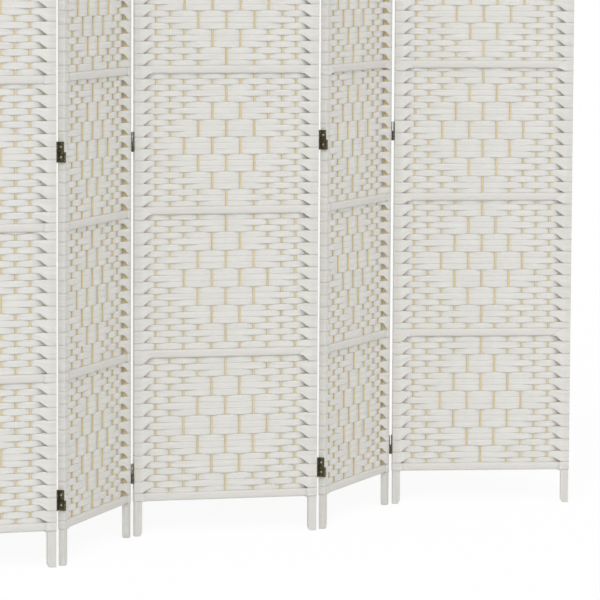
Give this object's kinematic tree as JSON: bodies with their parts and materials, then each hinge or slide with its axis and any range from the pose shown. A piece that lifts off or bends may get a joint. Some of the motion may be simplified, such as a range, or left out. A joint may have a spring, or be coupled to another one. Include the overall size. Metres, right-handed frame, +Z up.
{
  "type": "folding screen",
  "caption": "Free-standing folding screen of framed panels with a woven paper skin, joined in a zigzag by double-action hinges that let neighbouring panels fold face to face either way.",
  "frame": {"origin": "on the floor, under the middle of the box round the screen as it stands half folded", "axes": "+X along the middle panel towards its right end, +Y to that panel's back, +Z up"},
  "size_m": [1.8888, 0.8208, 1.778],
  "materials": {
    "stile": "white painted softwood, satin",
    "ladder": "white painted rails with bare ribs",
    "rib": "bare softwood ribs",
    "weave": "woven twisted paper strands, white",
    "hinge": "antique bronze plated",
    "screw": "zinc plated"
  },
  "bodies": {
    "panel_1": {"panel_1_left_stile": "stile", "panel_1_right_stile": "stile", "panel_1_rib_ladder": "ladder", "panel_1_paper_weave": "weave", "hinge_1_lower_left_leaf": "hinge", "hinge_1_middle_left_leaf": "hinge", "hinge_1_upper_left_leaf": "hinge"},
    "panel_2": {"panel_2_left_stile": "stile", "panel_2_right_stile": "stile", "panel_2_rib_ladder": "ladder", "panel_2_paper_weave": "weave", "hinge_1_lower_right_leaf": "hinge", "hinge_1_middle_right_leaf": "hinge", "hinge_1_upper_right_leaf": "hinge", "hinge_2_lower_left_leaf": "hinge", "hinge_2_middle_left_leaf": "hinge", "hinge_2_upper_left_leaf": "hinge"},
    "panel_3": {"panel_3_left_stile": "stile", "panel_3_right_stile": "stile", "panel_3_rib_ladder": "ladder", "panel_3_paper_weave": "weave", "hinge_2_lower_right_leaf": "hinge", "hinge_2_middle_right_leaf": "hinge", "hinge_2_upper_right_leaf": "hinge", "hinge_3_lower_left_leaf": "hinge", "hinge_3_middle_left_leaf": "hinge", "hinge_3_upper_left_leaf": "hinge"},
    "panel_4": {"panel_4_left_stile": "stile", "panel_4_right_stile": "stile", "panel_4_rib_ladder": "ladder", "panel_4_paper_weave": "weave", "hinge_3_lower_right_leaf": "hinge", "hinge_3_middle_right_leaf": "hinge", "hinge_3_upper_right_leaf": "hinge", "hinge_4_lower_left_leaf": "hinge", "hinge_4_middle_left_leaf": "hinge", "hinge_4_upper_left_leaf": "hinge"},
    "panel_5": {"panel_5_left_stile": "stile", "panel_5_right_stile": "stile", "panel_5_rib_ladder": "ladder", "panel_5_paper_weave": "weave", "hinge_4_lower_right_leaf": "hinge", "hinge_4_middle_right_leaf": "hinge", "hinge_4_upper_right_leaf": "hinge"},
    "link_1": {"hinge_1_lower_link": "hinge", "hinge_1_middle_link": "hinge", "hinge_1_upper_link": "hinge"},
    "link_2": {"hinge_2_lower_link": "hinge", "hinge_2_middle_link": "hinge", "hinge_2_upper_link": "hinge"},
    "link_3": {"hinge_3_lower_link": "hinge", "hinge_3_middle_link": "hinge", "hinge_3_upper_link": "hinge"},
    "link_4": {"hinge_4_lower_link": "hinge", "hinge_4_middle_link": "hinge", "hinge_4_upper_link": "hinge"}
  },
  "joints": [
    {"name": "hinge_3_back", "type": "hinge", "parent": "panel_3", "child": "link_3", "pos_m": [0.21265, 0.04051, 0.926], "axis": [0, 0, 1], "range_deg": [-53.5, 126.5]},
    {"name": "hinge_3_front", "type": "hinge", "parent": "link_3", "child": "panel_4", "pos_m": [0.22856, 0.02873, 0.926], "axis": [0, 0, 1], "range_deg": [-175, 0]},
    {"name": "hinge_4_back", "type": "hinge", "parent": "panel_4", "child": "link_4", "pos_m": [0.4821, 0.40466, 0.926], "axis": [0, 0, -1], "range_deg": [-175, 0]},
    {"name": "hinge_4_front", "type": "hinge", "parent": "link_4", "child": "panel_5", "pos_m": [0.49802, 0.39288, 0.926], "axis": [0, 0, -1], "range_deg": [-62.5, 117.5]},
    {"name": "hinge_2_front", "type": "hinge", "parent": "panel_3", "child": "link_2", "pos_m": [-0.24035, 0.02071, 0.926], "axis": [0, 0, 1], "range_deg": [-58, 122]},
    {"name": "hinge_2_back", "type": "hinge", "parent": "link_2", "child": "panel_2", "pos_m": [-0.25715, 0.0312, 0.926], "axis": [0, 0, 1], "range_deg": [-175, 0]},
    {"name": "hinge_1_front", "type": "hinge", "parent": "panel_2", "child": "link_1", "pos_m": [-0.48041, -0.36346, 0.926], "axis": [0, 0, -1], "range_deg": [-175, 0]},
    {"name": "hinge_1_back", "type": "hinge", "parent": "link_1", "child": "panel_1", "pos_m": [-0.4972, -0.35296, 0.926], "axis": [0, 0, -1], "range_deg": [-53, 127]}
  ]
}
